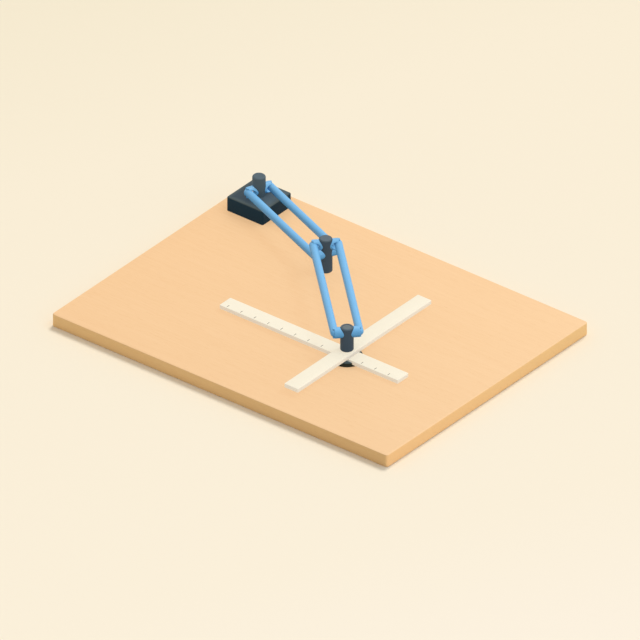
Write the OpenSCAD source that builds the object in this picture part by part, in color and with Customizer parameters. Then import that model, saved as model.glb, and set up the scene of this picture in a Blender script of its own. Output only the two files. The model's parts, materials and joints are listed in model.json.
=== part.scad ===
// Drafting machine: two parallelogram arms on a drawing board carry a head with two crossed scales.
// Millimetres. +Z is up, the long side of the board lies along X, and the origin is the centre of
// the board's underside. Heights named *_z are measured from the board's top face.

/* [Board] */
// Length of the drawing board, along X
board_w = 636; // [600:1:700]
// Depth of the drawing board, along Y
board_d = 478; // [450:1:520]
// Thickness of the drawing board
board_t = 21; // [18:0.5:28]
// Radius of the board's four upright corners
board_corner_r = 4.5; // [1:0.5:8]
// Chamfer round the board's top and bottom faces
board_edge = 0.8; // [0.4:0.1:1.5]

/* [Base] */
// Side of the square base block
block_w = 68.6; // [60:0.1:80]
// Height of the base block
block_h = 24.2; // [21:0.1:24.4]
// Radius of the block's upright corners
block_corner_r = 2.5; // [1:0.5:6]
// Chamfer round the block's top face
block_edge = 1.4; // [0.5:0.1:2]
// Distance of the shoulder axis from the board's left edge
base_inset_x = 56.6; // [50:0.1:80]
// Distance of the shoulder axis from the board's rear edge
base_inset_y = 56.1; // [50:0.1:80]
// Distance between neighbouring block screws
block_screw_pitch = 44; // [40:1:50]
// Diameter of the block screws
block_screw_d = 5; // [4:0.5:6]
// Thread length of the block screws inside the block
block_screw_grip = 12; // [8:1:15]
// Diameter of the base post's spigot in the block
post_spigot_d = 14; // [12:0.5:16]
// Length of the base post's spigot
post_spigot_l = 14; // [10:0.5:16]
// Diameter of the screw that holds the base post from below
post_screw_d = 6; // [5:0.5:7]

/* [Posts] */
// Diameter of the base, elbow and head posts
post_d = 20.2; // [19.8:0.1:22]
// Rounding of each post's top rim
post_round = 2.6; // [1:0.1:2.8]
// Height of the base post's top above the board
base_post_z = 57.2; // [54:0.1:64]
// Height of the elbow post's top above the board
elbow_post_z = 58.6; // [56:0.1:64]
// Gap between the elbow post's foot and the board
elbow_post_gap = 2; // [1:0.1:6]
// Height of the head post's top above the board
head_post_z = 56.9; // [55:0.1:60]

/* [Arms] */
// Upper arm, from pin to pin
upper_len = 202; // [180:1:220]
// Direction of the upper arm, degrees from +X
upper_angle = -22.1; // [-30:0.1:-15]
// Forearm, from pin to pin
fore_len = 247; // [240:1:260]
// Direction of the forearm, degrees from +X
fore_angle = -44.1; // [-50:0.1:-40]
// Height of the upper arm's rods, at their centre, above the board
upper_z = 33.1; // [32.9:0.1:36]
// Distance between the two rods of a pair
rod_pitch = 37.8; // [37.8:0.1:42]
// Outer diameter of the rods
rod_d = 12; // [11:0.1:12]
// Wall of the rod tubes
rod_wall = 1.5; // [1:0.1:2]
// Length of the full round eye on each rod end, measured from the pin
eye_l = 8; // [4:0.5:12]
// Length of each rod end piece with its plug in the tube, measured from the pin
plug_l = 20; // [16:1:30]
// Diameter of the pivot pins
pin_d = 3; // [2.6:0.1:3.2]
// Outer diameter of the pivot bushes
bush_d = 5; // [4.4:0.1:5.2]
// Thickness of the crossbar lugs above and below a rod
lug_t = 2.4; // [2.2:0.1:2.6]
// Thickness of the plate between the two arms at the elbow
mid_plate_t = 2; // [1.8:0.1:3]
// Radius of a lug's nose round its pin
lug_nose = 2.6; // [2.4:0.1:3]
// How far the crossbars' full section runs on past the line of the pins
bar_tail = 0.4; // [0:0.1:1]
// Swing of each arm to either side, degrees
arm_swing = 25; // [15:1:25]

/* [Scales] */
// Width of both scales
scale_w = 26; // [24:0.5:30]
// Thickness of both scales
scale_t = 6.6; // [6:0.1:7]
// Height of the long scale's underside above the board
scale_z = 4.3; // [4:0.1:5]
// Long scale, from the head axis to its left end
long_left = 231.5; // [200:0.5:233]
// Long scale, from the head axis to its right end
long_right = 106.5; // [90:0.5:130]
// Short scale, from the head axis to its front end
short_front = 133; // [110:1:160]
// Short scale, from the head axis to its rear end
short_rear = 185; // [150:0.5:200]
// Small chamfer on the scales' upright edges
scale_edge = 0.8; // [0.3:0.1:1.5]
// Number of division marks on the long scale
mark_count = 13; // [5:1:13]
// Distance between division marks
mark_pitch = 25.4; // [20:0.1:25.5]
// First mark, from the left end of the long scale
mark_start = 12.3; // [5:0.1:13]
// Length of a mark
mark_l = 5.6; // [3:0.1:8]
// Width of a mark
mark_w = 1; // [0.5:0.1:1.5]
// Depth of a mark's inlay
mark_deep = 0.4; // [0.2:0.1:0.8]
// Distance of the marks from the scale's front edge
mark_inset = 2.4; // [1.5:0.1:4]

/* [Head] */
// Diameter of the hub disc under the scales
hub_d = 48; // [46:1:56]
// Height of the hub disc's top above the board
hub_z = 7.4; // [6.4:0.1:8]
// Outer diameter of the glide ring under the hub
glide_d = 44; // [40:0.5:45]
// Radial width of the glide ring
glide_w = 5; // [3:0.5:6]
// Diameter of the spindle's journal
spindle_d = 8; // [7:0.1:8]
// Width across the two flats of the spindle in the scales
spindle_flat = 6.4; // [5.5:0.1:6.5]
// Diameter of the bore inside the head post
head_bore_d = 15; // [14.6:0.1:15.4]
// Length of the spindle bush
spindle_bush_l = 9; // [7:0.5:10]
// Thickness of the index plate on the spindle
index_t = 3; // [2.5:0.1:3.5]
// Number of click stops in a turn
index_count = 24; // [12:1:24]
// Diameter of the click balls
ball_d = 2; // [1.6:0.1:2.2]
// Thickness of the ring that carries the click balls
carrier_l = 7; // [6:0.5:7.5]
// Height of the brake cone
cone_l = 3; // [2:0.1:3.5]
// Diameter of the release stem
stem_d = 5; // [4.4:0.1:5.2]
// Diameter of the release button
button_d = 13; // [11:0.1:13]
// Travel of the release button
button_travel = 1.5; // [1:0.1:1.6]
// How far the button's top lies below the rim of the post
button_sink = 0.3; // [0:0.1:1]

/* [Fits] */
// Radial clearance of pins, journals and the button
running_gap = 0.05; // [0.03:0.01:0.1]
// Clearance of a rod between its lugs
rod_gap = 0.1; // [0.08:0.01:0.2]
// Clearance round a swinging rod end
swing_gap = 0.3; // [0.2:0.05:0.4]
// Clearance of the hub's glide ring above the board
glide_gap = 0.2; // [0.1:0.05:0.4]
// Clearance hole allowance of screws
screw_gap = 0.2; // [0.1:0.05:0.4]

/* [Hidden] */
$fn = 48;

rod_r = rod_d / 2;
post_r = post_d / 2;
pin_u = rod_pitch / 2;
slot_half = rod_r + rod_gap;
bar_r = slot_half + lug_t;
fore_z = upper_z + 2 * slot_half + mid_plate_t;
bar_reach = pin_u + bar_tail;
bar_edge = 0.7;
plug_r = rod_r - rod_wall;
seam_edge = 0.2;
pocket_r = rod_r + swing_gap;
pin_cover = 0.8;
pin_seat = lug_t - pin_cover;
pin_foot = 0.3;
swing_far = 3 * rod_d;
mouth_step = 0.02;

bar_register_d = 10;
bar_register_l = 3;
bar_screw_d = 4;
bar_screw_head_d = 7;
bar_screw_head_max = 2.8;
bar_screw_socket = 3.2;
bar_screw_socket_floor = 0.6;
bar_screw_tip = 3.9;
bar_screw_saddle = 1;
bar_screw_seat = post_r - bar_register_l + bar_screw_saddle;
rod_side_reach = (rod_r + bar_screw_head_d / 2 * sin(arm_swing)) / cos(arm_swing);
bar_screw_head_l = min(bar_screw_head_max, pin_u - rod_side_reach - swing_gap - bar_screw_seat);

block_head_d = 9;
block_head_l = 3.5;
block_socket_d = 0.9 * block_screw_d;
block_socket_l = 2;
board_counterbore = 8;
board_counterbore_d = block_head_d + 2;
post_head_d = 11;
post_head_l = 4;
post_socket_d = 0.8 * post_screw_d;
post_socket_l = 2;
post_counterbore = 5;
post_screw_end_gap = 2;
post_foot_edge = 0.4;
elbow_foot_edge = 0.8;

hub_foot_z = 0.5;
hub_rim = 1.2;
hub_foot_edge = 0.4;
glide_t = 1.5;
glide_z = glide_gap;
scale_top_z = scale_z + 2 * scale_t;
channel_gap = 0.1;
scale_screw_d = 3;
scale_screw_head_d = 5.6;
scale_screw_head_l = 1.6;
scale_screw_socket = 2.2;
scale_screw_socket_l = 1;
scale_screw_inset = 5;
scale_screw_at = scale_w / 2 - scale_screw_inset;
scale_screw_recess = 0.3;
scale_screw_head_z = hub_foot_z + scale_screw_recess;
scale_screw_seat_z = scale_screw_head_z + scale_screw_head_l;
scale_screw_end_gap = 2;
scale_screw_tip_z = scale_top_z - scale_screw_end_gap;
washer_t = 0.5;
washer_inset = 0.5;
washer_d = post_d - 2 * washer_inset;
post_foot_z = scale_top_z + washer_t + running_gap;
bush_top_z = post_foot_z + spindle_bush_l;
index_z = bush_top_z + running_gap;
index_gap = 0.3;
index_d = head_bore_d - 2 * index_gap;
index_top_z = index_z + index_t;
dimple_d = 0.8 * ball_d;
dimple_tip_d = 0.2;
dimple_deep = 0.5;
boss_d = 9;
boss_gap = 0.2;
boss_recess = 0.5;
carrier_gap = 0.1;
carrier_z = index_top_z + carrier_gap;
carrier_top_z = carrier_z + carrier_l;
carrier_hole_d = boss_d + 2 * boss_gap;
ball_at = (carrier_hole_d + head_bore_d) / 4;
ball_z = index_top_z + running_gap + ball_d / 2;
click_spring_l = 3.2;
boss_top_z = carrier_top_z - boss_recess;
stem_lift = 0.9;
stem_foot_z = index_top_z + stem_lift;
stem_key_flat = stem_d - 1;
spring_depth = 4;
spring_gap = 0.1;
spring_wall = 0.6;
spring_floor_z = index_z - spring_depth;
spring_top_z = stem_foot_z - button_travel - spring_gap;
cone_gap = 0.3;
cone_z = carrier_top_z + button_travel + cone_gap;
cone_top_z = cone_z + cone_l;
cone_step = 1.2;
cone_taper = 1.5;
cone_d = head_bore_d - 2 * cone_step;
cone_top_d = cone_d - 2 * cone_taper;
spindle_end_z = 3.2;
spindle_screw_d = 4;
spindle_screw_l = 8;
spindle_screw_end_gap = 1;
spindle_screw_head_d = 8;
spindle_screw_head_l = 2;
spindle_socket_d = 2.8;
spindle_socket_l = 1.4;
button_top_z = head_post_z - button_sink;
button_l = 4.3;
button_gap = 0.4;
button_recess_z = button_top_z - button_l - button_travel - button_gap;
button_round = 0.8;
button_foot_edge = 0.3;
button_cover = 1.5;
stem_top_z = button_top_z - button_cover;

base_at = [base_inset_x - board_w / 2, board_d / 2 - base_inset_y];
elbow_at = base_at + upper_len * [cos(upper_angle), sin(upper_angle)];
head_at = elbow_at + fore_len * [cos(fore_angle), sin(fore_angle)];

blue = [0.36, 0.63, 0.86];
slate = [0.16, 0.21, 0.24];
peach = [0.95, 0.72, 0.45];
cream = [0.98, 0.93, 0.82];
steel = [0.72, 0.73, 0.75];
bronze = [0.72, 0.55, 0.32];
nylon = [0.9, 0.9, 0.87];
ink = [0.45, 0.41, 0.37];

// Slab with rounded upright corners.
module rounded_slab(w, d, h, r) {
    linear_extrude(h)
        offset(r = r)
            square([w - 2 * r, d - 2 * r], center = true);
}

// Block with rounded upright corners and a chamfer at the top, and at the bottom where asked.
module chamfered_block(w, d, h, r, top_edge, bottom_edge) {
    hull($fn = 32) {
        translate([0, 0, bottom_edge])
            rounded_slab(w, d, h - top_edge - bottom_edge, r);
        rounded_slab(w - 2 * top_edge, d - 2 * top_edge, h, r);
    }
}

// Upright round post from z = 0, with a rounded rim at the top and a small chamfer at the foot.
module round_post(d, h, rim, foot) {
    rotate_extrude()
        union() {
            translate([0, foot])
                square([d / 2, h - rim - foot]);
            square([d / 2 - rim, h]);
            polygon([[0, 0], [d / 2 - foot, 0], [d / 2, foot], [0, foot]]);
            translate([d / 2 - rim, h - rim])
                intersection() {
                    circle(rim);
                    square(rim);
                }
        }
}

// Round bar along +Y from the post's axis, chamfered at its end. Only a nose round the pin runs on.
module bar_body() {
    difference() {
        rotate([-90, 0, 0])
            cylinder(r = bar_r, h = pin_u + 2 * lug_nose);
        difference() {
            rotate([-90, 0, 0])
                rotate_extrude()
                    polygon([
                        [0, bar_reach],
                        [bar_r - bar_edge, bar_reach],
                        [2 * bar_r, bar_reach - bar_edge - bar_r],
                        [2 * bar_r, 2 * pin_u],
                        [0, 2 * pin_u]
                    ]);
            translate([0, pin_u, 0])
                cylinder(r = lug_nose, h = 4 * bar_r, center = true);
        }
    }
}

// Room for a rod that swings about its pin. The rod leaves towards +X, and the mouth is as round
// as the rod.
module rod_pocket() {
    far_x = swing_far * cos(arm_swing);
    far_y = swing_far * sin(arm_swing);
    translate([0, pin_u, 0]) {
        intersection() {
            sphere(pocket_r);
            cube([3 * pocket_r, 3 * pocket_r, 2 * slot_half], center = true);
        }
        cylinder(d = bush_d + 2 * swing_gap, h = 2 * slot_half, center = true);
        for (turn = [-arm_swing, arm_swing])
            rotate(turn)
                rotate([0, 90, 0])
                    cylinder(r = slot_half, h = swing_far);
        linear_extrude(2 * (slot_half - mouth_step), center = true)
            polygon([[0, 0], [far_x, -far_y], [far_x, far_y]]);
    }
}

// Short register that locates a crossbar half in the post.
module bar_register() {
    rotate([-90, 0, 0])
        translate([0, 0, post_r - bar_register_l])
            cylinder(d = bar_register_d, h = bar_register_l + 1);
}

// Holes of the screw that holds a crossbar half.
module bar_screw_holes() {
    rotate([-90, 0, 0]) {
        translate([0, 0, post_r - bar_register_l - 1])
            cylinder(d = bar_screw_d + screw_gap, h = bar_register_l + 2);
        translate([0, 0, bar_screw_seat])
            cylinder(d = bar_screw_head_d + screw_gap, h = pin_u - bar_screw_seat);
    }
}

// Turns the half made towards +Y into the front or rear half, open to the left or right.
module bar_side(rear, open_right) {
    mirror([0, rear ? 0 : 1, 0])
        mirror([open_right ? 0 : 1, 0, 0])
            children();
}

// Pin hole from the lower lug into the upper lug.
module pin_hole(from, to) {
    translate([0, pin_u, from])
        cylinder(d = pin_d, h = to - from);
}

module post_frame(at, z, angle) {
    translate([at[0], at[1], board_t + z])
        rotate(angle)
            children();
}

// Everything that is cut from a half: the rod's pocket, the screw's holes and the pin's hole.
module bar_cuts(pin_from, pin_to) {
    rod_pocket();
    bar_screw_holes();
    pin_hole(pin_from, pin_to);
}

module single_crossbar_half(rear, open_right) {
    bar_side(rear, open_right)
        difference() {
            union() {
                difference() {
                    bar_body();
                    cylinder(r = post_r, h = 4 * bar_r, center = true);
                }
                bar_register();
            }
            bar_cuts(-bar_r - 1, slot_half + pin_seat);
        }
}

// Places a shape at the elbow's lower or upper bar, on its front or rear side.
module elbow_level(upper, rear) {
    post_frame(elbow_at, upper ? fore_z : upper_z, upper ? fore_angle : upper_angle)
        bar_side(rear, upper)
            children();
}

// Elbow half: the lower bar takes the upper arm, the upper bar the forearm, and they share a plate.
module elbow_half(rear) {
    difference() {
        union() {
            difference() {
                union()
                    for (upper = [false, true])
                        elbow_level(upper, rear)
                            bar_body();
                translate([elbow_at[0], elbow_at[1], board_t])
                    cylinder(r = post_r, h = fore_z + 2 * bar_r);
            }
            for (upper = [false, true])
                elbow_level(upper, rear)
                    bar_register();
        }
        elbow_level(false, rear)
            bar_cuts(-bar_r - 1, slot_half + mid_plate_t);
        elbow_level(true, rear)
            bar_cuts(-slot_half - mid_plate_t, slot_half + pin_seat);
    }
}

// Sockets that a post has for the registers and screws of one crossbar level.
module post_sockets() {
    for (turn = [0, 180])
        rotate(turn)
            rotate([-90, 0, 0]) {
                translate([0, 0, post_r - bar_register_l])
                    cylinder(d = bar_register_d, h = bar_register_l + 1);
                translate([0, 0, bar_screw_tip])
                    cylinder(d = bar_screw_d, h = post_r);
            }
}

// Two cap screws of one crossbar level, with a hexagon socket in each head.
module bar_screws() {
    for (turn = [0, 180])
        rotate(turn)
            rotate([-90, 0, 0])
                difference() {
                    union() {
                        translate([0, 0, bar_screw_tip])
                            cylinder(d = bar_screw_d, h = bar_screw_seat - bar_screw_tip);
                        translate([0, 0, bar_screw_seat])
                            cylinder(d = bar_screw_head_d, h = bar_screw_head_l);
                    }
                    translate([0, 0, bar_screw_seat + bar_screw_socket_floor])
                        cylinder(d = bar_screw_socket, h = bar_screw_head_l, $fn = 6);
                }
}

// Two pivot pins of one crossbar level.
module pivot_pins(from, to) {
    for (side = [-1, 1])
        translate([0, side * pin_u, from])
            cylinder(d = pin_d, h = to - from);
}

// Places a rod's own frame on one side of an arm: the pins lie at x = 0 and x = length.
module arm_side(at, z, angle, rear) {
    post_frame(at, z, angle)
        translate([0, rear ? pin_u : -pin_u, 0])
            children();
}

module rod_bush_holes(length) {
    for (x = [0, length])
        translate([x, 0, 0])
            cylinder(d = bush_d, h = 2 * rod_d, center = true);
}

// Tube of a rod, between the eyes of its two end pieces.
module rod_tube(length) {
    rotate([0, 90, 0])
        rotate_extrude()
            polygon([
                [plug_r, eye_l],
                [rod_r - seam_edge, eye_l],
                [rod_r, eye_l + seam_edge],
                [rod_r, length - eye_l - seam_edge],
                [rod_r - seam_edge, length - eye_l],
                [plug_r, length - eye_l]
            ]);
}

// Two end pieces of a rod: an eye with a round end, as thick as the rod, and a plug for the tube.
module rod_plugs(length) {
    difference() {
        for (x = [0, length])
            translate([x, 0, 0])
                rotate(x == 0 ? 0 : 180)
                    rotate([0, 90, 0])
                        rotate_extrude()
                            union() {
                                intersection() {
                                    circle(rod_r);
                                    translate([0, -rod_r])
                                        square(rod_r);
                                }
                                polygon([
                                    [0, 0],
                                    [rod_r, 0],
                                    [rod_r, eye_l - seam_edge],
                                    [rod_r - seam_edge, eye_l],
                                    [plug_r, eye_l],
                                    [plug_r, plug_l],
                                    [0, plug_l]
                                ]);
                            }
        rod_bush_holes(length);
    }
}

module rod_bushes(length) {
    for (x = [0, length])
        translate([x, 0, 0])
            difference() {
                cylinder(d = bush_d, h = 2 * slot_half - rod_gap, center = true);
                cylinder(d = pin_d + 2 * running_gap, h = 2 * rod_d, center = true);
            }
}

module drawing_board() {
    color(peach)
        difference() {
            chamfered_block(board_w, board_d, board_t, board_corner_r, board_edge, board_edge);
            translate([base_at[0], base_at[1], 0])
                block_screw_pattern() {
                    translate([0, 0, -1])
                        cylinder(d = board_counterbore_d, h = board_counterbore + 1);
                    cylinder(d = block_screw_d + screw_gap, h = board_t + 1);
                }
        }
}

module block_screw_pattern() {
    for (x = [-1, 1], y = [-1, 1])
        translate([x * block_screw_pitch / 2, y * block_screw_pitch / 2, 0])
            children();
}

module base_block() {
    color(slate)
        translate([base_at[0], base_at[1], board_t])
            difference() {
                chamfered_block(block_w, block_w, block_h, block_corner_r, block_edge, 0);
                block_screw_pattern()
                    translate([0, 0, -1])
                        cylinder(d = block_screw_d, h = block_screw_grip + 1);
                translate([0, 0, block_h - post_spigot_l])
                    cylinder(d = post_spigot_d, h = post_spigot_l + 1);
                translate([0, 0, -1])
                    cylinder(d = post_screw_d + screw_gap, h = block_h);
                translate([0, 0, -1])
                    cylinder(d = post_head_d + 2 * screw_gap, h = post_counterbore + 1);
            }
}

module base_block_screws() {
    color(steel)
        translate([base_at[0], base_at[1], board_counterbore])
            block_screw_pattern()
                difference() {
                    union() {
                        cylinder(d = block_screw_d, h = board_t - board_counterbore + block_screw_grip);
                        translate([0, 0, -block_head_l])
                            cylinder(d = block_head_d, h = block_head_l);
                    }
                    translate([0, 0, -block_head_l - 1])
                        cylinder(d = block_socket_d, h = 1 + block_socket_l, $fn = 6);
                }
}

module base_post() {
    color(slate)
        difference() {
            union() {
                translate([base_at[0], base_at[1], board_t + block_h])
                    round_post(post_d, base_post_z - block_h, post_round, post_foot_edge);
                translate([base_at[0], base_at[1], board_t + block_h - post_spigot_l])
                    cylinder(d = post_spigot_d, h = post_spigot_l + 1);
            }
            post_frame(base_at, upper_z, upper_angle)
                post_sockets();
            translate([base_at[0], base_at[1], board_t + block_h - post_spigot_l - 1])
                cylinder(d = post_screw_d, h = post_spigot_l);
        }
}

module base_post_screw() {
    color(steel)
        translate([base_at[0], base_at[1], board_t + post_counterbore])
            difference() {
                union() {
                    cylinder(d = post_screw_d, h = block_h - post_counterbore - post_screw_end_gap);
                    translate([0, 0, -post_head_l])
                        cylinder(d = post_head_d, h = post_head_l);
                }
                translate([0, 0, -post_head_l - 1])
                    cylinder(d = post_socket_d, h = 1 + post_socket_l, $fn = 6);
            }
}

module base_crossbar_front() {
    color(blue)
        post_frame(base_at, upper_z, upper_angle)
            single_crossbar_half(false, true);
}

module base_crossbar_rear() {
    color(blue)
        post_frame(base_at, upper_z, upper_angle)
            single_crossbar_half(true, true);
}

module base_crossbar_screws() {
    color(steel)
        post_frame(base_at, upper_z, upper_angle)
            bar_screws();
}

module base_pivot_pins() {
    color(steel)
        post_frame(base_at, upper_z, upper_angle)
            pivot_pins(-bar_r + pin_foot, slot_half + pin_seat);
}

module upper_rod_front() {
    color(blue)
        arm_side(base_at, upper_z, upper_angle, false)
            rod_tube(upper_len);
}

module upper_rod_front_plugs() {
    color(blue)
        arm_side(base_at, upper_z, upper_angle, false)
            rod_plugs(upper_len);
}

module upper_rod_front_bushes() {
    color(bronze)
        arm_side(base_at, upper_z, upper_angle, false)
            rod_bushes(upper_len);
}

module upper_rod_rear() {
    color(blue)
        arm_side(base_at, upper_z, upper_angle, true)
            rod_tube(upper_len);
}

module upper_rod_rear_plugs() {
    color(blue)
        arm_side(base_at, upper_z, upper_angle, true)
            rod_plugs(upper_len);
}

module upper_rod_rear_bushes() {
    color(bronze)
        arm_side(base_at, upper_z, upper_angle, true)
            rod_bushes(upper_len);
}

module elbow_post() {
    color(slate)
        difference() {
            translate([elbow_at[0], elbow_at[1], board_t + elbow_post_gap])
                round_post(post_d, elbow_post_z - elbow_post_gap, post_round, elbow_foot_edge);
            post_frame(elbow_at, upper_z, upper_angle)
                post_sockets();
            post_frame(elbow_at, fore_z, fore_angle)
                post_sockets();
        }
}

module elbow_crossbar_front() {
    color(blue)
        elbow_half(false);
}

module elbow_crossbar_rear() {
    color(blue)
        elbow_half(true);
}

module elbow_crossbar_screws() {
    color(steel) {
        post_frame(elbow_at, upper_z, upper_angle)
            bar_screws();
        post_frame(elbow_at, fore_z, fore_angle)
            bar_screws();
    }
}

module elbow_lower_pins() {
    color(steel)
        post_frame(elbow_at, upper_z, upper_angle)
            pivot_pins(-bar_r + pin_foot, slot_half + mid_plate_t);
}

module elbow_upper_pins() {
    color(steel)
        post_frame(elbow_at, fore_z, fore_angle)
            pivot_pins(-slot_half - mid_plate_t, slot_half + pin_seat);
}

module forearm_rod_front() {
    color(blue)
        arm_side(elbow_at, fore_z, fore_angle, false)
            rod_tube(fore_len);
}

module forearm_rod_front_plugs() {
    color(blue)
        arm_side(elbow_at, fore_z, fore_angle, false)
            rod_plugs(fore_len);
}

module forearm_rod_front_bushes() {
    color(bronze)
        arm_side(elbow_at, fore_z, fore_angle, false)
            rod_bushes(fore_len);
}

module forearm_rod_rear() {
    color(blue)
        arm_side(elbow_at, fore_z, fore_angle, true)
            rod_tube(fore_len);
}

module forearm_rod_rear_plugs() {
    color(blue)
        arm_side(elbow_at, fore_z, fore_angle, true)
            rod_plugs(fore_len);
}

module forearm_rod_rear_bushes() {
    color(bronze)
        arm_side(elbow_at, fore_z, fore_angle, true)
            rod_bushes(fore_len);
}

// Frame of everything that turns about the head axis. Its z = 0 is the board's top face.
module head_frame() {
    translate([head_at[0], head_at[1], board_t])
        children();
}

// Upright cylinder between two heights.
module barrel(d, from, to) {
    translate([0, 0, from])
        cylinder(d = d, h = to - from);
}

// Upright shaft with two flats.
module flatted(d, flat, from, to) {
    intersection() {
        barrel(d, from, to);
        translate([-flat / 2, -d, from])
            cube([flat, 2 * d, to - from]);
    }
}

module head_post() {
    color(slate)
        difference() {
            head_frame()
                difference() {
                    translate([0, 0, post_foot_z])
                        round_post(post_d, head_post_z - post_foot_z, post_round, post_foot_edge);
                    barrel(head_bore_d, post_foot_z - 1, cone_z);
                    translate([0, 0, cone_z])
                        cylinder(
                            d1 = cone_d + 2 * running_gap,
                            d2 = cone_top_d + 2 * running_gap,
                            h = cone_l
                        );
                    barrel(cone_top_d + 2 * running_gap, cone_top_z - 0.01, cone_top_z + cone_gap);
                    barrel(stem_d + 2 * running_gap, cone_top_z, head_post_z);
                    barrel(button_d + 2 * running_gap, button_recess_z, head_post_z + 1);
                }
            post_frame(head_at, fore_z, fore_angle)
                post_sockets();
        }
}

module head_crossbar_front() {
    color(blue)
        post_frame(head_at, fore_z, fore_angle)
            single_crossbar_half(false, false);
}

module head_crossbar_rear() {
    color(blue)
        post_frame(head_at, fore_z, fore_angle)
            single_crossbar_half(true, false);
}

module head_crossbar_screws() {
    color(steel)
        post_frame(head_at, fore_z, fore_angle)
            bar_screws();
}

module head_pivot_pins() {
    color(steel)
        post_frame(head_at, fore_z, fore_angle)
            pivot_pins(-bar_r + pin_foot, slot_half + pin_seat);
}

module spindle_bush() {
    color(bronze)
        head_frame()
            difference() {
                barrel(head_bore_d, post_foot_z, bush_top_z);
                barrel(spindle_d + 2 * running_gap, post_foot_z - 1, bush_top_z + 1);
            }
}

// Upright axes of the two click balls.
module click_axes() {
    for (side = [-1, 1])
        translate([side * ball_at, 0, 0])
            children();
}

module click_carrier() {
    color(steel)
        head_frame()
            difference() {
                barrel(head_bore_d, carrier_z, carrier_top_z);
                barrel(carrier_hole_d, carrier_z - 1, carrier_top_z + 1);
                click_axes()
                    barrel(ball_d + 2 * running_gap, carrier_z - 1, ball_z + ball_d / 2 + click_spring_l);
            }
}

module click_balls() {
    color(steel)
        head_frame()
            click_axes()
                translate([0, 0, ball_z])
                    sphere(d = ball_d);
}

module click_springs() {
    color(steel)
        head_frame()
            click_axes()
                difference() {
                    barrel(ball_d, ball_z + ball_d / 2, ball_z + ball_d / 2 + click_spring_l);
                    barrel(ball_d / 2, ball_z, ball_z + ball_d + click_spring_l);
                }
}

module scale_screw_pattern() {
    for (x = [-1, 1], y = [-1, 1])
        translate([x * scale_screw_at, y * scale_screw_at, 0])
            children();
}

// Holes that the scale screws pass through.
module scale_screw_holes(from, to) {
    scale_screw_pattern()
        barrel(scale_screw_d + screw_gap, from, to);
}

module hub_disc() {
    color(slate)
        head_frame()
            difference() {
                translate([0, 0, hub_foot_z])
                    round_post(hub_d, hub_z - hub_foot_z, hub_rim, hub_foot_edge);
                translate([-hub_d, -scale_w / 2 - channel_gap, scale_z])
                    cube([2 * hub_d, scale_w + 2 * channel_gap, hub_z]);
                flatted(spindle_d, spindle_flat, 0, hub_z);
                barrel(spindle_screw_head_d + screw_gap, 0, spindle_end_z);
                scale_screw_holes(0, hub_z);
                scale_screw_pattern()
                    barrel(scale_screw_head_d + screw_gap, 0, scale_screw_seat_z);
                difference() {
                    barrel(glide_d, 0, glide_z + glide_t);
                    barrel(glide_d - 2 * glide_w, -1, hub_z);
                }
            }
}

module hub_glide() {
    color(nylon)
        head_frame()
            difference() {
                barrel(glide_d, glide_z, glide_z + glide_t);
                barrel(glide_d - 2 * glide_w, 0, hub_z);
            }
}

module index_dimples() {
    for (i = [0 : index_count - 1])
        rotate(i * 360 / index_count)
            translate([ball_at, 0, index_top_z - dimple_deep])
                cylinder(d1 = dimple_tip_d, d2 = dimple_d, h = dimple_deep);
}

module spindle() {
    color(steel)
        head_frame()
            difference() {
                union() {
                    flatted(spindle_d, spindle_flat, spindle_end_z, scale_top_z);
                    barrel(spindle_d, scale_top_z, index_z + 1);
                    barrel(index_d, index_z, index_top_z);
                    barrel(boss_d, index_top_z, boss_top_z);
                }
                index_dimples();
                barrel(spindle_screw_d, 0, spindle_end_z + spindle_screw_l + spindle_screw_end_gap);
                flatted(stem_d + 2 * running_gap, stem_key_flat + 2 * running_gap,
                        spring_floor_z, boss_top_z + 1);
            }
}

module spindle_screw() {
    color(steel)
        head_frame()
            difference() {
                union() {
                    barrel(spindle_screw_head_d, spindle_end_z - spindle_screw_head_l, spindle_end_z);
                    barrel(spindle_screw_d, spindle_end_z, spindle_end_z + spindle_screw_l);
                }
                translate([0, 0, spindle_end_z - spindle_screw_head_l - 1])
                    cylinder(d = spindle_socket_d, h = 1 + spindle_socket_l, $fn = 6);
            }
}

// Scale blank along X, from -left to right, with its centre hole and screw holes.
module scale_blank(left, right, z, screw_top) {
    difference() {
        translate([-left, -scale_w / 2, z])
            linear_extrude(scale_t)
                offset(delta = scale_edge, chamfer = true)
                    translate([scale_edge, scale_edge])
                        square([left + right - 2 * scale_edge, scale_w - 2 * scale_edge]);
        scale_screw_holes(z - 1, screw_top);
    }
}

module mark_row() {
    for (i = [0 : mark_count - 1])
        translate([mark_start - long_left + i * mark_pitch - mark_w / 2, mark_inset - scale_w / 2, 0])
            cube([mark_w, mark_l, mark_deep]);
}

module long_scale() {
    color(cream)
        head_frame()
            difference() {
                scale_blank(long_left, long_right, scale_z, scale_z + scale_t + 1);
                flatted(spindle_d, spindle_flat, 0, scale_top_z);
                translate([0, 0, scale_z + scale_t - mark_deep])
                    scale([1, 1, 2])
                        mark_row();
            }
}

module short_scale() {
    color(cream)
        head_frame()
            difference() {
                rotate(-90)
                    scale_blank(short_rear, short_front, scale_z + scale_t, scale_screw_tip_z);
                flatted(spindle_d, spindle_flat, 0, scale_top_z + 1);
            }
}

module scale_marks() {
    color(ink)
        head_frame()
            difference() {
                translate([0, 0, scale_z + scale_t - mark_deep])
                    mark_row();
                scale_screw_holes(0, scale_top_z);
            }
}

module scale_screws() {
    color(steel)
        head_frame()
            scale_screw_pattern()
                difference() {
                    union() {
                        barrel(scale_screw_head_d, scale_screw_head_z, scale_screw_seat_z);
                        barrel(scale_screw_d, scale_screw_seat_z, scale_screw_tip_z);
                    }
                    translate([0, 0, scale_screw_head_z - 1])
                        cylinder(d = scale_screw_socket, h = 1 + scale_screw_socket_l, $fn = 6);
                }
}

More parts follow.
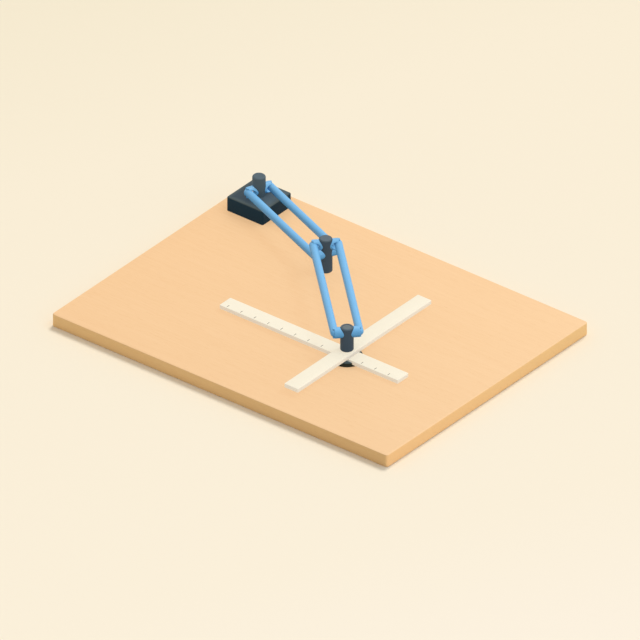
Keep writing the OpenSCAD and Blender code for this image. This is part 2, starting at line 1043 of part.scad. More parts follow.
module thrust_washer() {
    color(nylon)
        head_frame()
            difference() {
                barrel(washer_d, scale_top_z, scale_top_z + washer_t);
                barrel(spindle_d, scale_top_z - 1, scale_top_z + 1);
            }
}

module release_spring() {
    color(steel)
        head_frame()
            difference() {
                barrel(stem_key_flat, spring_floor_z, spring_top_z);
                barrel(stem_key_flat - 2 * spring_wall, spring_floor_z - 1, spring_top_z + 1);
            }
}

module release_stem() {
    color(steel)
        head_frame() {
            flatted(stem_d, stem_key_flat, stem_foot_z, cone_z);
            translate([0, 0, cone_z])
                cylinder(d1 = cone_d, d2 = cone_top_d, h = cone_l);
            barrel(stem_d, cone_top_z, stem_top_z);
        }
}

module release_button() {
    color(slate)
        head_frame()
            difference() {
                translate([0, 0, button_top_z - button_l])
                    round_post(button_d, button_l, button_round, button_foot_edge);
                barrel(stem_d, 0, stem_top_z);
            }
}

drawing_board();
base_block();
base_block_screws();
base_post();
base_post_screw();
base_crossbar_front();
base_crossbar_rear();
base_crossbar_screws();
base_pivot_pins();
upper_rod_front();
upper_rod_front_plugs();
upper_rod_front_bushes();
upper_rod_rear();
upper_rod_rear_plugs();
upper_rod_rear_bushes();
elbow_post();
elbow_crossbar_front();
elbow_crossbar_rear();
elbow_crossbar_screws();
elbow_lower_pins();
elbow_upper_pins();
forearm_rod_front();
forearm_rod_front_plugs();
forearm_rod_front_bushes();
forearm_rod_rear();
forearm_rod_rear_plugs();
forearm_rod_rear_bushes();
head_post();
head_crossbar_front();
head_crossbar_rear();
head_crossbar_screws();
head_pivot_pins();
spindle_bush();
click_carrier();
click_balls();
click_springs();
hub_disc();
hub_glide();
spindle();
spindle_screw();
long_scale();
short_scale();
scale_marks();
scale_screws();
thrust_washer();
release_spring();
release_stem();
release_button();
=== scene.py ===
import json
import math
import bpy
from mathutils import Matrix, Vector

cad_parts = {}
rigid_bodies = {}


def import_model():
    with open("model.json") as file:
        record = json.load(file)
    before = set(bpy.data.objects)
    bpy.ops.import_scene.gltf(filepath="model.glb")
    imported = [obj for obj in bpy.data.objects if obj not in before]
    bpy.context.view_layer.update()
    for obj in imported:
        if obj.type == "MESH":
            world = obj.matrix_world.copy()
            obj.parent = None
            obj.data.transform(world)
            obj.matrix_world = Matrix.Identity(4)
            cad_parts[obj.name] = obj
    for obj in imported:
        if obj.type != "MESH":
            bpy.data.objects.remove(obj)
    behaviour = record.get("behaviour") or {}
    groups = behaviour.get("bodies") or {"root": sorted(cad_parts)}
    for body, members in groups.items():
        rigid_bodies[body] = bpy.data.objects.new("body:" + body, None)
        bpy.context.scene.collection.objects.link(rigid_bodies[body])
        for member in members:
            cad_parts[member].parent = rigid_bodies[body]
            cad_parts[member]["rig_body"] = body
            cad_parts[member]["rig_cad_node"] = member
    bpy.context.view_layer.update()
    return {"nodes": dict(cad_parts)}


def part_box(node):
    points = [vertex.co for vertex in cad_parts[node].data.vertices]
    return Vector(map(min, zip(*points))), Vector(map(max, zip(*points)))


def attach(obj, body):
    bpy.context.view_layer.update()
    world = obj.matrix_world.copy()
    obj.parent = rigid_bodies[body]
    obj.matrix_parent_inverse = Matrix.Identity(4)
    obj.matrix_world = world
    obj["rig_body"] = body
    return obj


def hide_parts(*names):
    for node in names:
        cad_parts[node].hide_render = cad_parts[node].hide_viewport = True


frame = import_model()
nodes = frame["nodes"]

# Camera. The view is parallel, from the front right and about a third of the way up to straight
# down, and it is about half as wide again as the board is long.
view_azimuth = math.radians(38.58)
view_elevation = math.radians(32.07)
view_width = 0.9486
view_centre = Vector((0.0008, -0.0008, 0.018))
camera_distance = 9.0
camera_reach = 60.0
towards_camera = Vector((
    math.sin(view_azimuth) * math.cos(view_elevation),
    -math.cos(view_azimuth) * math.cos(view_elevation),
    math.sin(view_elevation),
))
bpy.ops.object.select_all(action="DESELECT")
bpy.ops.object.camera_add(location=view_centre + camera_distance * towards_camera)
camera = bpy.context.object
camera.rotation_euler = towards_camera.to_track_quat("Z", "Y").to_euler()
camera.data.type = "ORTHO"
camera.data.ortho_scale = view_width
camera.data.clip_end = camera_reach
bpy.context.scene.camera = camera
bpy.context.scene.view_settings.view_transform = "Standard"


# Studio lamps. A softbox high behind the board throws the short shadow along its front edge, and
# a wide one on the right lights the right-hand faces. A weak one over the arms leaves a trace of
# their shadow, and another in front lights the sides of the scales and posts.
def add_lamp(name, towards_lamp, strength, colour, spread):
    """A distant lamp in this direction, as wide as this angle in degrees."""
    bpy.ops.object.light_add(type="SUN", location=Vector(towards_lamp).normalized() * camera_distance)
    lamp = bpy.context.object
    lamp.name = name
    lamp.rotation_euler = Vector(towards_lamp).to_track_quat("Z", "Y").to_euler()
    lamp.data.energy = strength
    lamp.data.color = colour
    lamp.data.angle = math.radians(spread)
    return lamp


lamp_behind = add_lamp(
    "lamp_behind", towards_lamp=(-2.2, 12.2, 22), strength=1.562, colour=(1.0, 0.942, 0.876), spread=19,
)
lamp_right = add_lamp(
    "lamp_right", towards_lamp=(22, 0, 9), strength=0.65, colour=(1.0, 0.985, 0.965), spread=40,
)
add_lamp(
    "lamp_over_arms", towards_lamp=(0.516, 0.412, 1.0), strength=0.25, colour=(0.4, 0.7, 1.0), spread=20,
)
lamp_front = add_lamp(
    "lamp_front", towards_lamp=(-4, -20, 5), strength=0.32, colour=(0.9, 0.96, 1.0), spread=30,
)
lamp_right.data.use_shadow = False
lamp_right.data.cycles.max_bounces = 0
shades_the_floor = bpy.data.collections.new("shades_the_floor")
lamp_behind.light_linking.blocker_collection = shades_the_floor
lit_in_front = bpy.data.collections.new("lit_in_front")
lamp_front.light_linking.receiver_collection = lit_in_front
not_lit_from_right = bpy.data.collections.new("not_lit_from_right")
lamp_right.light_linking.receiver_collection = not_lit_from_right


# Room. Its plain walls give an even light from all sides. The eye and glossy faces see the walls
# themselves, which are a pale cream.
class Wire:
    """An output of a shader node. Sums and products of wires add the Math nodes that they need."""

    def __init__(self, tree, socket=None):
        self.tree = tree
        self.socket = socket

    def node(self, kind, settings=(), sockets=(), output=0):
        """Adds a node, gives it its settings and then its sockets' values or wires."""
        added = self.tree.nodes.new("ShaderNode" + kind)
        for name, value in dict(settings).items():
            if name == "stops":
                ramp = added.color_ramp.elements
                while len(ramp) < len(value):
                    ramp.new(1.0)
                for stop, (place, colour) in zip(ramp, value):
                    stop.position = place
                    stop.color = (*colour, 1.0)
            else:
                setattr(added, name, value)
        for name, value in dict(sockets).items():
            if isinstance(value, Wire):
                self.tree.links.new(value.socket, added.inputs[name])
            else:
                added.inputs[name].default_value = value
        return Wire(self.tree, added.outputs[output] if added.outputs else None)

    def other(self, output):
        """Another output of the same node."""
        return Wire(self.tree, self.socket.node.outputs[output])

    def __add__(self, value):
        return self.node("Math", {"operation": "ADD"}, {0: self, 1: value})

    def __mul__(self, value):
        return self.node("Math", {"operation": "MULTIPLY"}, {0: self, 1: value})

    __radd__ = __add__
    __rmul__ = __mul__


room_light_tone = (1.0, 0.995, 0.985, 1)
room_light_strength = 0.5
room_wall_tone = (0.956, 0.86, 0.685, 1)
room = bpy.data.worlds.new("studio_room")
bpy.context.scene.world = room
room.use_nodes = True
room.node_tree.nodes.clear()
air = Wire(room.node_tree)
ray = air.node("LightPath", output="Is Camera Ray")
seen = ray + ray.other("Is Glossy Ray") + ray.other("Is Transmission Ray")
room_light = air.node("Background", (), {"Color": room_light_tone, "Strength": room_light_strength})
room_wall = air.node("Background", (), {"Color": room_wall_tone, "Strength": 1.0})
walls = air.node("MixShader", (), {0: seen, 1: room_light, 2: room_wall})
air.node("OutputWorld", (), {"Surface": walls})


# Floor. A plain sheet of cream paper that the board lies on, painted a little lighter towards the front
# right as painted light. It reaches far past the board on all sides, and it takes the board's shadow.
def new_finish(name):
    """A material with no nodes yet, and a wire that adds them."""
    finish = bpy.data.materials.new(name)
    finish.use_nodes = True
    finish.node_tree.nodes.clear()
    return finish, Wire(finish.node_tree)


def close_finish(wire, sockets):
    """Ends a material with a surface that has these values and wires."""
    surface = wire.node("BsdfPrincipled", (), sockets)
    wire.node("OutputMaterial", (), {"Surface": surface})


floor_size = 40
floor_drop = 0.0002
# Painted light: the paper's colour grows lighter towards the front right, as if a lamp stood there.
painted_light_towards = (0.92, -0.39, 0)
painted_light_over = 2.01
paper_tones_painted_light = (
    (0.0, (0.885, 0.800, 0.622)),
    (0.22, (0.918, 0.828, 0.660)),
    (0.78, (0.930, 0.845, 0.690)),
    (1.0, (0.945, 0.862, 0.736)),
)
bpy.ops.object.select_all(action="DESELECT")
bpy.ops.mesh.primitive_plane_add(size=floor_size, location=(0, 0, -floor_drop))
floor = bpy.context.object
floor.name = "studio_floor"
bpy.ops.object.transform_apply()
cream_paper, wire = new_finish("cream_paper")
spot = wire.node("TexCoord", output="Object")
run = wire.node("VectorMath", {"operation": "DOT_PRODUCT"}, {0: spot, 1: painted_light_towards}, output="Value")
paper_tone = wire.node("ValToRGB", {"stops": paper_tones_painted_light}, {"Fac": run * (1 / painted_light_over) + 0.5})
close_finish(wire, {"Base Color": paper_tone, "Roughness": 0.9, "Specular IOR Level": 0.1})
floor.data.materials.append(cream_paper)


# Drawing board. A thick slab of pale glued wood, sanded and given a satin varnish, with its edges eased.
# The grain runs along the length, and the ends show the rings of the staves. Its tones hold painted light
# and shade: the top grows lighter to the right, the sides are painted warmer than the top, the long side
# darker to the right and the ends darker to the rear.
def mixed(wire, factor, first, second):
    """A colour between two colours."""
    return wire.node("Mix", {"data_type": "RGBA"}, {0: factor, 6: first, 7: second}, output=2)


def tinted(wire, colour, tint, factor=1.0):
    """A colour times a tint, by as much as the factor says."""
    settings = {"data_type": "RGBA", "blend_type": "MULTIPLY"}
    return wire.node("Mix", settings, {0: factor, 6: colour, 7: (*tint, 1)}, output=2)


def clamped(wire, value, scale, offset):
    """value times scale plus offset, kept between 0 and 1."""
    settings = {"operation": "MULTIPLY_ADD", "use_clamp": True}
    return wire.node("Math", settings, {0: value, 1: scale, 2: offset})


def cloud(wire, spot, swells, detail=2.0, roughness=0.5):
    """Noise with this many swells a metre along each axis."""
    place = wire.node("VectorMath", {"operation": "MULTIPLY"}, {0: spot, 1: swells})
    sockets = {"Vector": place, "Scale": 1.0, "Detail": detail, "Roughness": roughness}
    return wire.node("TexNoise", (), sockets)


def relief(wire, height, depth, strength):
    """A small relief of this depth, in metres."""
    return wire.node("Bump", (), {"Strength": strength, "Distance": depth, "Height": height})


def facing(wire, axis):
    """How far a face looks along an axis: 1 towards it, 0 square to it, -1 away from it."""
    normal = wire.node("TexCoord", output="Normal")
    return wire.node("SeparateXYZ", (), {0: normal}, output=axis)


def is_across(wire, axis):
    """1 on the two flat faces that lie across an axis, and 0 on the others."""
    slant = wire.node("Math", {"operation": "ABSOLUTE"}, {0: facing(wire, axis)})
    return clamped(wire, slant, 2.5, -1.0)


def dress(finish, *names):
    """Gives CAD nodes their finish."""
    for name in names:
        for material_slot in nodes[name].material_slots:
            material_slot.material = finish


def round_edges(piece, radius, segments, chosen):
    """Rounds the edges of a piece whose two ends are both chosen."""
    bpy.ops.object.mode_set(mode="EDIT")
    bpy.ops.mesh.select_mode(type="EDGE")
    bpy.ops.mesh.select_all(action="DESELECT")
    bpy.ops.object.mode_set(mode="OBJECT")
    corners = piece.data.vertices
    for edge in piece.data.edges:
        start, end = [corners[i].co for i in edge.vertices]
        edge.select = chosen(start, end)
    bpy.ops.object.mode_set(mode="EDIT")
    bpy.ops.mesh.bevel(offset=radius, segments=segments, affect="EDGES")
    bpy.ops.object.mode_set(mode="OBJECT")


def eased_copy(name, finish, ease, corner, ease_foot=True):
    """A merged copy of a slab from the CAD, cut to a block that has rounded edges."""
    skin = 1e-6
    near = 1e-5
    merge_reach = 2e-6
    corner_segments = 8
    ease_segments = 4
    smooth_below = math.radians(30)
    low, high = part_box(name)
    bpy.ops.object.select_all(action="DESELECT")
    bpy.ops.mesh.primitive_cube_add(
        size=1, location=(low + high) / 2, scale=high - low + Vector((skin, skin, skin)),
    )
    mould = bpy.context.object
    bpy.ops.object.transform_apply()
    round_edges(mould, corner, corner_segments, lambda start, end: abs(start.z - end.z) > corner)
    round_edges(mould, ease, ease_segments, lambda start, end: min(start.z, end.z) > high.z - near
                or ease_foot and max(start.z, end.z) < low.z + near)
    bpy.ops.object.select_all(action="DESELECT")
    nodes[name].select_set(True)
    bpy.context.view_layer.objects.active = nodes[name]
    bpy.ops.object.duplicate()
    piece = bpy.context.object
    body = piece["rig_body"]
    piece.name = name + "_eased"
    del piece["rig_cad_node"]
    bpy.ops.object.mode_set(mode="EDIT")
    bpy.ops.mesh.select_all(action="SELECT")
    bpy.ops.mesh.customdata_custom_splitnormals_clear()
    bpy.ops.mesh.remove_doubles(threshold=merge_reach)
    bpy.ops.object.mode_set(mode="OBJECT")
    easing = piece.modifiers.new("easing", "BOOLEAN")
    easing.operation = "INTERSECT"
    easing.object = mould
    bpy.ops.object.modifier_apply(modifier="easing")
    bpy.data.objects.remove(mould)
    bpy.ops.object.shade_smooth_by_angle(angle=smooth_below)
    for material_slot in piece.material_slots:
        material_slot.material = finish
    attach(piece, body)
    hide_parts(name)
    return piece


board_ease = 0.0014
board_corner = 0.0047
stave_width = 0.07
ring_waves = 2400.0
wood_relief = 0.00008
stave_sway = 0.02
heart_depth = 0.05
ring_lean = 0.04
ring_sway = 0.006
tone_run_along = 0.625
tone_run_across = 0.5
# Painted light and shade: the top is lighter to the right, the long side darker to the right, the ends
# darker to the rear, and the sides warmer than the top.
top_tones_painted_light = (0.932, 0.612, 0.337, 1), (0.942, 0.640, 0.371, 1)
long_side_tones_painted_shade = (0.935, 0.620, 0.290, 1), (0.830, 0.548, 0.260, 1)
end_tones_painted_shade = (0.970, 0.615, 0.300, 1), (0.910, 0.605, 0.285, 1)
late_wood_tint = (0.965, 0.94, 0.90)
pore_tint = (0.91, 0.85, 0.77)
board_wood, wire = new_finish("board_wood")
spot = wire.node("TexCoord", output="Object")
along = wire.node("SeparateXYZ", (), {0: spot}, output="X")
across = along.other("Y")
up = along.other("Z")
to_the_right = clamped(wire, along, 1 / tone_run_along, 0.5)
to_the_rear = clamped(wire, across, 1 / tone_run_across, 0.5)
slow = cloud(wire, spot, (2.5, 12, 12))
fibre = cloud(wire, spot, (7, 310, 310), 4.0, 0.6)
streaks = cloud(wire, spot, (16, 900, 900), 2.0)
pores = cloud(wire, spot, (60, 2600, 2600), 1.0)
swayed = across + slow * stave_sway
stave_spot = wire.node("Math", {"operation": "PINGPONG"}, {0: swayed, 1: stave_width / 2})
ring_spot = wire.node("CombineXYZ", (), {0: stave_spot, 1: up + heart_depth, 2: along * ring_lean})
ring_radius = wire.node("VectorMath", {"operation": "LENGTH"}, {0: ring_spot}, output="Value")
rings = wire.node("Math", {"operation": "SINE"}, {0: (ring_radius + slow * ring_sway) * ring_waves})
figure = clamped(wire, slow * 0.7 + fibre * 1.1 + rings * 0.08, 1.0, -0.45)
top_tone = mixed(wire, to_the_right, *top_tones_painted_light)
long_side_tone = mixed(wire, to_the_right, *long_side_tones_painted_shade)
end_tone = mixed(wire, to_the_rear, *end_tones_painted_shade)
side_tone = mixed(wire, is_across(wire, "X"), long_side_tone, end_tone)
light_wood = mixed(wire, is_across(wire, "Z"), side_tone, top_tone)
late_wood = tinted(wire, light_wood, late_wood_tint)
grain_tone = mixed(wire, clamped(wire, streaks * 0.5 + figure, 1.0, -0.2), light_wood, late_wood)
pored_wood = tinted(wire, grain_tone, pore_tint)
close_finish(wire, {
    "Base Color": mixed(wire, clamped(wire, pores, 5.0, -3.0), grain_tone, pored_wood),
    "Roughness": 0.52 + fibre * 0.16,
    "Specular IOR Level": 0.22,
    "Normal": relief(wire, fibre * 0.6 + pores * 0.4, wood_relief, 0.5),
})
board = eased_copy("drawing_board", board_wood, board_ease, board_corner)
shades_the_floor.objects.link(board)

# Base block. A square casting with a dark powder coat, screwed to the board from below. Its top is painted
# lighter than its sides as painted sheen, lighter still towards its right and darker at its left as
# painted shade, and its upper edges are painted lighter, as wear and as a painted highlight.
block_ease = 0.0024
block_corner = 0.0027
# Painted sheen, shade and highlight for the block's top and upper edges; the edge tone is also wear.
worn_and_highlit_coat = (0.088, 0.120, 0.128)
painted_shade_tint = (0.79, 0.81, 0.85)
painted_sheen_tint = (1.50, 1.44, 1.42)
sheen_towards = (0.78, 0.62, 0)
sheen_run = 0.035
edge_start = 0.0265
edge_band = 0.006
rim_depth = 0.002
rim_band = 0.001


def powder_coat(name, side, rim, top, gloss=0.2, sheen_and_wear=None, rim_start=0.15):
    """Powder coat, with its tones on the sides, the eased edges and the top: painted shade on the sides
    and painted light on the edges and top.
    """
    pebble_size = 0.0007
    pebble_relief = 0.00014
    dark_tint = (0.86, 0.88, 0.9)
    finish, wire = new_finish(name)
    spot = wire.node("TexCoord", output="Object")
    pebble = cloud(wire, spot, (1 / pebble_size,) * 3, 3.0)
    patch = cloud(wire, spot, (28, 28, 28), 3.0)
    # Painted light and shade: the tone follows which way a face looks, darker on the sides and lighter on
    # the edges and top.
    slope = wire.node("ValToRGB", {"stops": (
        (rim_start, side), (rim_start + 0.35, rim), (0.85, rim), (0.97, top),
    )}, {"Fac": facing(wire, "Z")})
    if sheen_and_wear:
        slope = sheen_and_wear(wire, spot, slope)
    dark = tinted(wire, slope, dark_tint)
    close_finish(wire, {
        "Base Color": mixed(wire, clamped(wire, patch * 0.8 + pebble * 1.1, 1.0, -0.45), dark, slope),
        "Roughness": 0.42 + patch * 0.16,
        "Specular IOR Level": gloss,
        "Normal": relief(wire, pebble, pebble_relief, 0.7),
    })
    return finish


def block_sheen_and_wear(wire, spot, tone):
    """The top has painted sheen towards its right and painted shade towards its left, and the coat is
    painted lighter near the upper edges, as wear and as a painted highlight.
    """
    low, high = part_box("base_block")
    offset = wire.node("VectorMath", {"operation": "SUBTRACT"}, {0: spot, 1: (low + high) / 2})
    sockets = {0: offset, 1: sheen_towards}
    rightward = wire.node("VectorMath", {"operation": "DOT_PRODUCT"}, sockets, output="Value")
    is_top = clamped(wire, facing(wire, "Z"), 4.0, -3.0)
    painted_light_tone = tinted(wire, tone, painted_shade_tint, is_top)
    sheened_top = tinted(wire, tone, painted_sheen_tint, is_top)
    tone = mixed(wire, clamped(wire, rightward, 1 / sheen_run, 0.55), painted_light_tone, sheened_top)
    reach = wire.node("VectorMath", {"operation": "ABSOLUTE"}, {0: offset})
    reach_x = wire.node("SeparateXYZ", (), {0: reach}, output="X")
    outward = wire.node("Math", {"operation": "MAXIMUM"}, {0: reach_x, 1: reach_x.other("Y")})
    height = wire.node("SeparateXYZ", (), {0: spot}, output="Z")
    near_edge = clamped(wire, outward, 1 / edge_band, -edge_start / edge_band)
    near_top = clamped(wire, height, 1 / rim_band, -(high.z - rim_depth) / rim_band)
    return mixed(wire, near_edge * near_top, tone, (*worn_and_highlit_coat, 1))


dark_coat = powder_coat(
    "dark_coat", side=(0.008, 0.041, 0.078), rim=worn_and_highlit_coat, top=(0.060, 0.094, 0.120),
    gloss=0.1, sheen_and_wear=block_sheen_and_wear, rim_start=0.5,
)
block = eased_copy("base_block", dark_coat, block_ease, block_corner, ease_foot=False)
not_lit_from_right.objects.link(block)
not_lit_from_right.collection_objects[-1].light_linking.link_state = "EXCLUDE"

# Posts. Three turned steel posts with a slate coat, each with a well rounded rim. The base post
# has a spigot in the block, the elbow post hangs between the arms, and the head post is hollow.
# Painted light: each post's top and rim are painted lighter than its sides.
base_coat = powder_coat(
    "slate_coat_base", gloss=0.12,
    side=(0.080, 0.128, 0.165), rim=(0.095, 0.135, 0.165), top=(0.090, 0.130, 0.160),
)
arm_coat = powder_coat(
    "slate_coat_arms", gloss=0.12,
    side=(0.052, 0.089, 0.134), rim=(0.085, 0.122, 0.150), top=(0.118, 0.155, 0.190),
)
dress(base_coat, "base_post")
dress(arm_coat, "elbow_post", "head_post")
for name in ("base_post", "elbow_post", "head_post"):
    lit_in_front.objects.link(nodes[name])

# Crossbars and rods. Cast crossbars in halves, and drawn tubes with round eyes plugged into their
# ends, all under one satin blue enamel. It is a little uneven, as sprayed enamel is.
enamel_ease = 0.0003
peel_relief = 0.00006
# Painted shade and light: the enamel is darkest on faces that look down and lightest on faces that look
# up.
enamel_painted_shade_below = (0.018, 0.190, 0.53)
enamel_side = (0.113, 0.422, 0.86)
enamel_painted_light_top = (0.195, 0.505, 0.85)
deep_tint = (0.93, 0.95, 0.97)


def blue_enamel(name, eased):
    """Sprayed enamel, which rounds the sharp edges of a casting, painted darker on faces that look down
    and lighter on faces that look up, as painted shade and light.
    """
    finish, wire = new_finish(name)
    spot = wire.node("TexCoord", output="Object")
    peel = cloud(wire, spot, (520, 520, 520), 1.0)
    patch = cloud(wire, spot, (22, 22, 22), 2.0)
    slope = wire.node("ValToRGB", {"stops": (
        (0.1, enamel_painted_shade_below), (0.5, enamel_side), (0.93, enamel_painted_light_top),
    )}, {"Fac": clamped(wire, facing(wire, "Z"), 0.5, 0.5)})
    deep = tinted(wire, slope, deep_tint)
    skin = {"Strength": 0.5, "Distance": peel_relief, "Height": peel}
    if eased:
        skin["Normal"] = wire.node("Bevel", {"samples": 6}, {"Radius": enamel_ease})
    close_finish(wire, {
        "Base Color": mixed(wire, clamped(wire, patch * 0.9 + peel * 0.2, 1.0, 0.0), deep, slope),
        "Roughness": 0.38 + patch * 0.14,
        "Specular IOR Level": 0.2,
        "Coat Weight": 0.04 + peel * 0.06,
        "Coat Roughness": 0.3,
        "Normal": wire.node("Bump", (), skin),
    })
    return finish


bar_enamel = blue_enamel("blue_enamel_bars", eased=True)
rod_enamel = blue_enamel("blue_enamel_rods", eased=False)
for place in ("base", "elbow", "head"):
    dress(bar_enamel, place + "_crossbar_front", place + "_crossbar_rear")
for arm in ("upper_rod", "forearm_rod"):
    for side in ("front", "rear"):
        dress(rod_enamel, f"{arm}_{side}", f"{arm}_{side}_plugs")


# Bushes. Short bronze sleeves, pressed in, that the pins and the spindle run in. They are turned on
# a lathe, so they show fine rings.
def turned_metal(name, colour, ring_pitch, roughness):
    """Bare metal with the rings of a lathe and a few duller spots."""
    ring_relief = 0.00003
    dull_share = 0.78
    finish, wire = new_finish(name)
    spot = wire.node("TexCoord", output="Object")
    rings = cloud(wire, spot, (30, 30, 1 / ring_pitch), 2.0)
    stain = cloud(wire, spot, (180, 180, 180), 2.0)
    dull = tuple(dull_share * c for c in colour)
    close_finish(wire, {
        "Base Color": mixed(wire, clamped(wire, stain, 1.6, -0.3), (*dull, 1), (*colour, 1)),
        "Metallic": 1.0,
        "Roughness": roughness - 0.06 + rings * 0.12,
        "Normal": relief(wire, rings, ring_relief, 0.5),
    })
    return finish


bronze = turned_metal("turned_bronze", colour=(0.24, 0.20, 0.15), ring_pitch=0.00025, roughness=0.55)
for arm in ("upper_rod", "forearm_rod"):
    dress(bronze, arm + "_front_bushes", arm + "_rear_bushes")
dress(bronze, "spindle_bush")

# Pins, screws and the head's turned parts. They are bright steel, ground or turned, with faint
# rings. The pins stand in the forks, and the screws hold the halves, posts, block and scales.
steel = turned_metal("turned_steel", colour=(0.60, 0.61, 0.63), ring_pitch=0.0002, roughness=0.32)
dress(steel, "base_pivot_pins", "elbow_lower_pins", "elbow_upper_pins", "head_pivot_pins")
dress(steel, "base_crossbar_screws", "elbow_crossbar_screws", "head_crossbar_screws")
dress(steel, "base_block_screws", "base_post_screw", "spindle_screw", "scale_screws")
dress(steel, "spindle", "click_carrier", "click_balls", "release_stem")

# Hub disc. A turned disc with a dark powder coat. A channel across it carries the long scale, and a
# ring of nylon let into its foot glides on the board. The washer over the scales is nylon too.
# Painted shade: the disc's sides are painted far darker than its top.
hub_coat = powder_coat(
    "dark_coat_hub", side=(0.012, 0.022, 0.020), rim=(0.040, 0.060, 0.064), top=(0.052, 0.078, 0.084),
)
dress(hub_coat, "hub_disc")
nylon_relief = 0.00004
nylon_tones = (0.80, 0.80, 0.76, 1), (0.88, 0.88, 0.85, 1)
nylon, wire = new_finish("moulded_nylon")
spot = wire.node("TexCoord", output="Object")
flow = cloud(wire, spot, (160, 160, 160), 3.0)
close_finish(wire, {
    "Base Color": mixed(wire, flow, *nylon_tones),
    "Roughness": 0.42 + flow * 0.12,
    "Normal": relief(wire, flow, nylon_relief, 0.4),
})
dress(nylon, "hub_glide", "thrust_washer")

# Scales. Two bars of ivory laminate, screwed together crosswise on the hub. Their faces are faintly
# mottled, their edges are eased, and their sides are painted a shade whiter than the faces, as painted
# light.
scale_ease = 0.0005
scale_corner = 0.0015
laminate_relief = 0.00002
# Painted light: the sides are given a whiter tone than the faces.
painted_light_side_and_face_tones = (0.95, 0.965, 0.91, 1), (0.916, 0.850, 0.696, 1)
aged_tint = (0.983, 0.977, 0.965)
ivory, wire = new_finish("ivory_laminate")
spot = wire.node("TexCoord", output="Object")
mottle = cloud(wire, spot, (45, 45, 45), 4.0, 0.6)
speck = cloud(wire, spot, (900, 900, 900), 1.0)
painted_light_tone = mixed(wire, is_across(wire, "Z"), *painted_light_side_and_face_tones)
aged = tinted(wire, painted_light_tone, aged_tint)
close_finish(wire, {
    "Base Color": mixed(wire, clamped(wire, mottle * 1.5 + speck * 0.9, 1.0, -0.75), painted_light_tone, aged),
    "Roughness": 0.40 + mottle * 0.16,
    "Specular IOR Level": 0.3,
    "Normal": relief(wire, speck, laminate_relief, 0.4),
})
for name in ("long_scale", "short_scale"):
    scale = eased_copy(name, ivory, scale_ease, scale_corner)
    lit_in_front.objects.link(scale)

# Division marks. Thin bars of dark filler along the front edge of the long scale, let into its face
# and rubbed flush, so their tone is a little uneven.
filler_relief = 0.00003
filler_tones = (0.13, 0.105, 0.085, 1), (0.20, 0.165, 0.13, 1)
filler, wire = new_finish("mark_filler")
spot = wire.node("TexCoord", output="Object")
rub = cloud(wire, spot, (700, 700, 700), 2.0)
close_finish(wire, {
    "Base Color": mixed(wire, rub, *filler_tones),
    "Roughness": 0.55 + rub * 0.15,
    "Normal": relief(wire, rub, filler_relief, 0.4),
})
dress(filler, "scale_marks")


# Springs in the head. Two small ones press the click balls on the index plate, and a third lifts
# the release stem. Each is wound from round wire, and its CAD sleeve only keeps its place.
def coil_spring(name, centre, foot, top, outer_radius, wire_radius, turns):
    """A spring of round steel wire, wound about an upright axis."""
    merge_reach = 1e-6
    wire_sides = 10
    turn_steps = 20
    smooth_below = math.radians(40)
    bpy.ops.object.select_all(action="DESELECT")
    bpy.ops.mesh.primitive_circle_add(
        vertices=wire_sides, radius=wire_radius, rotation=(math.radians(90), 0, 0),
        location=(outer_radius - wire_radius, 0, foot + wire_radius), fill_type="NGON",
    )
    spring = bpy.context.object
    spring.name = name
    bpy.ops.object.transform_apply()
    winding = spring.modifiers.new("winding", "SCREW")
    winding.axis = "Z"
    winding.iterations = turns
    winding.screw_offset = (top - foot - 2 * wire_radius) / turns
    winding.steps = turn_steps
    winding.render_steps = turn_steps
    bpy.ops.object.modifier_apply(modifier="winding")
    bpy.ops.object.mode_set(mode="EDIT")
    bpy.ops.mesh.select_all(action="SELECT")
    bpy.ops.mesh.remove_doubles(threshold=merge_reach)
    bpy.ops.mesh.fill_holes(sides=0)
    bpy.ops.mesh.normals_make_consistent(inside=False)
    bpy.ops.transform.translate(value=(*centre, 0))
    bpy.ops.object.mode_set(mode="OBJECT")
    bpy.ops.object.shade_smooth_by_angle(angle=smooth_below)
    spring.data.materials.append(steel)
    return spring


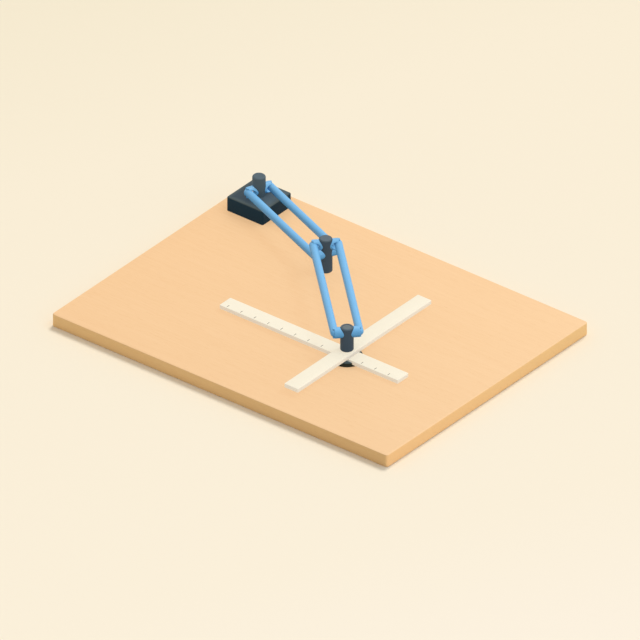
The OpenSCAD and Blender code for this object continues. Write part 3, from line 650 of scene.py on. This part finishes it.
def fit_spring(spring, sleeve):
    """Lets a spring ride in the place of its sleeve."""
    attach(spring, nodes[sleeve]["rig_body"])
    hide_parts(sleeve)


click_wire = 0.00022
click_turns = 5
release_wire = 0.0003
release_turns = 6
low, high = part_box("click_springs")
click_radius = (high.y - low.y) / 2
click_y = (low.y + high.y) / 2
for number, click_x in enumerate((low.x + click_radius, high.x - click_radius), 1):
    click_coil = coil_spring(
        f"click_spring_{number}", (click_x, click_y), low.z, high.z, click_radius, click_wire, click_turns,
    )
    fit_spring(click_coil, "click_springs")
low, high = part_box("release_spring")
middle = (low + high) / 2
release_coil = coil_spring(
    "release_spring_coil", (middle.x, middle.y), low.z, high.z, (high.x - low.x) / 2,
    release_wire, release_turns,
)
fit_spring(release_coil, "release_spring")

# Release button. A moulded slate plastic cap on the stem, sunk just below the rim of the head post. Its
# sides are painted darker than its top, as painted shade, and its tone is a little uneven from use.
cap_relief = 0.00003
# Painted shade: the cap's sides are darker than its top.
cap_side = (0.05, 0.08, 0.10)
cap_top = (0.13, 0.165, 0.185)
cap_tint = (0.88, 0.9, 0.92)
plastic, wire = new_finish("slate_plastic")
spot = wire.node("TexCoord", output="Object")
skin = cloud(wire, spot, (1200, 1200, 1200), 2.0)
wear = cloud(wire, spot, (120, 120, 120), 2.0)
cap_tone = wire.node("ValToRGB", {"stops": ((0.2, cap_side), (0.95, cap_top))}, {"Fac": facing(wire, "Z")})
cap_dark = tinted(wire, cap_tone, cap_tint)
close_finish(wire, {
    "Base Color": mixed(wire, wear, cap_dark, cap_tone),
    "Roughness": 0.45 + wear * 0.12,
    "Specular IOR Level": 0.3,
    "Normal": relief(wire, skin, cap_relief, 0.4),
})
dress(plastic, "release_button")

# Light round the thin pieces. The wide light of the room leaves no shade below the rods, the hanging
# posts and the scales, so that light passes them by. The lamps still throw their shadows.
for name in ("elbow_post", "head_post", "long_scale_eased", "short_scale_eased"):
    bpy.data.objects[name].visible_diffuse = False
for node in nodes.values():
    if node["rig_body"].startswith(("upper_arm", "forearm")):
        node.visible_diffuse = False
